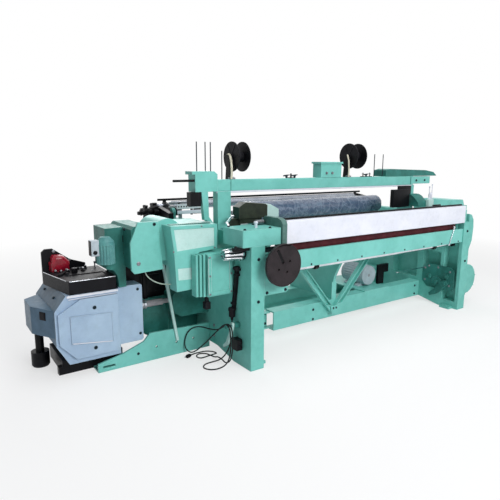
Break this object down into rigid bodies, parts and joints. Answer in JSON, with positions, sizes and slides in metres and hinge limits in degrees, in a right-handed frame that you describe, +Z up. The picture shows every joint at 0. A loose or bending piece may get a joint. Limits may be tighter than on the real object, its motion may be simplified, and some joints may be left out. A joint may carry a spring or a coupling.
{
  "type": "power loom",
  "caption": "Wide shuttleless power loom in mint green with a side dobby, a hand wheel, a film-wrapped roll, creel reels and a loose power cable.",
  "frame": {"origin": "on the floor, centre of the four anchor holes in the feet", "axes": "+X along the loom to the weaver's right, +Y from the weaver to the back, +Z up"},
  "size_m": [4.533, 1.6739, 1.687],
  "materials": {
    "mint_paint": "semi-gloss, slightly mottled",
    "deep_green_paint": "satin",
    "blue_grey_paint": "satin",
    "black_paint": "satin",
    "black_plastic": "matt",
    "red_plastic": "gloss",
    "white_paint": "satin",
    "bright_steel": "polished",
    "plain_steel": "brushed",
    "maroon_cover": "matt cover on a steel roller",
    "film_wrap": "crumpled film, gloss",
    "dark_iron": "matt",
    "grey_paint": "satin",
    "cream_paint": "satin",
    "cable_rubber": "matt",
    "pale_hose": "matt"
  },
  "bodies": {
    "frame": {"base_rail": "mint_paint", "beam_posts": "deep_green_paint", "bearing_blocks": "deep_green_paint", "belt_guard": "mint_paint", "black_brackets": "black_paint", "board_caps": "mint_paint", "board_rail": "plain_steel", "breast_beam": "mint_paint", "cable_conduit": "cable_rubber", "cable_plug": "cable_rubber", "centre_brace": "mint_paint", "cloth_roller": "film_wrap", "creel_board": "deep_green_paint", "creel_boxes": "mint_paint", "creel_pins": "plain_steel", "creel_stands": "black_paint", "cross_beams": "deep_green_paint", "dobby_base": "black_paint", "dobby_body": "blue_grey_paint", "dobby_cover": "blue_grey_paint", "dobby_red_cover": "red_plastic", "dobby_top": "black_plastic", "drive_box": "deep_green_paint", "front_board": "white_paint", "gripper_cover": "deep_green_paint", "gripper_guides": "white_paint", "gripper_lever": "black_paint", "headblocks": "mint_paint", "left_rapier_housing": "mint_paint", "left_side_frame": "mint_paint", "let_off_head": "black_paint", "low_front_beam": "mint_paint", "main_motor": "grey_paint", "oil_line": "pale_hose", "outer_motor": "deep_green_paint", "pedal_box": "mint_paint", "power_cable": "cable_rubber", "rest_pedestals": "deep_green_paint", "right_inner_cover": "deep_green_paint", "right_rapier_housing": "deep_green_paint", "right_side_frame": "mint_paint", "small_motor": "deep_green_paint", "take_up_gearbox": "mint_paint", "top_beam": "mint_paint", "wheel_bracket": "mint_paint"},
    "hand_wheel": {"hand_wheel": "dark_iron"},
    "crank_handle": {"crank_handle": "dark_iron"},
    "take_up_roller": {"take_up_roller": "maroon_cover", "take_up_knob": "bright_steel"},
    "starting_rail": {"starting_rail": "bright_steel"},
    "sley": {"rocking_shaft": "deep_green_paint", "sley_beam": "plain_steel", "reed": "plain_steel"},
    "back_rest_arms": {"back_rest_arms": "black_paint"},
    "back_rest_roller": {"back_rest_roller": "bright_steel"},
    "left_reel": {"left_reel": "black_plastic"},
    "right_reel": {"right_reel": "black_plastic"},
    "dobby_shaft": {"dobby_shaft": "cream_paint"},
    "foot_pedal": {"foot_pedal": "cream_paint"},
    "pattern_knob": {"pattern_knob": "black_plastic"}
  },
  "joints": [
    {"name": "hand_wheel_turn", "type": "hinge", "parent": "frame", "child": "hand_wheel", "pos_m": [-1.167, -0.845, 0.79], "axis": [0, 1, 0], "continuous": true},
    {"name": "crank_fold", "type": "hinge", "parent": "hand_wheel", "child": "crank_handle", "pos_m": [-1.22146, -0.848, 0.89242], "axis": [-0.8829, 0, -0.4695], "range_deg": [0, 90]},
    {"name": "take_up_turn", "type": "hinge", "parent": "frame", "child": "take_up_roller", "pos_m": [0, -0.64, 0.87], "axis": [1, 0, 0], "continuous": true},
    {"name": "starting_rail_turn", "type": "hinge", "parent": "frame", "child": "starting_rail", "pos_m": [0, -0.64, 0.694], "axis": [1, 0, 0], "range_deg": [-15, 15]},
    {"name": "sley_beat", "type": "hinge", "parent": "frame", "child": "sley", "pos_m": [0, -0.31, 0.752], "axis": [1, 0, 0], "range_deg": [0, 15]},
    {"name": "back_rest_swing", "type": "hinge", "parent": "frame", "child": "back_rest_arms", "pos_m": [0, 0.52, 1.065], "axis": [1, 0, 0], "range_deg": [-5, 5], "stiffness_Nm_per_rad": 2000, "springref_deg": 3.78},
    {"name": "back_rest_roller_turn", "type": "hinge", "parent": "back_rest_arms", "child": "back_rest_roller", "pos_m": [0, 0.775, 1.1], "axis": [1, 0, 0], "continuous": true},
    {"name": "left_reel_turn", "type": "hinge", "parent": "frame", "child": "left_reel", "pos_m": [-1.181, -0.265, 1.552], "axis": [1, 0, 0], "continuous": true},
    {"name": "right_reel_turn", "type": "hinge", "parent": "frame", "child": "right_reel", "pos_m": [0.12, -0.265, 1.572], "axis": [1, 0, 0], "continuous": true},
    {"name": "dobby_shaft_turn", "type": "hinge", "parent": "frame", "child": "dobby_shaft", "pos_m": [-1.82, -0.05, 0.425], "axis": [1, 0, 0], "continuous": true},
    {"name": "pedal_press", "type": "hinge", "parent": "frame", "child": "foot_pedal", "pos_m": [-1.437, -0.59, 0.318], "axis": [1, 0, 0], "range_deg": [-20, 0], "stiffness_Nm_per_rad": 4, "springref_deg": 6.88},
    {"name": "pattern_knob_turn", "type": "hinge", "parent": "frame", "child": "pattern_knob", "pos_m": [-2.355, 0.14, 0.717], "axis": [0, 0, 1], "continuous": true}
  ],
  "couplings": [
    {"joint": "dobby_shaft_turn", "follows": "hand_wheel_turn", "ratio": 0.5}
  ]
}
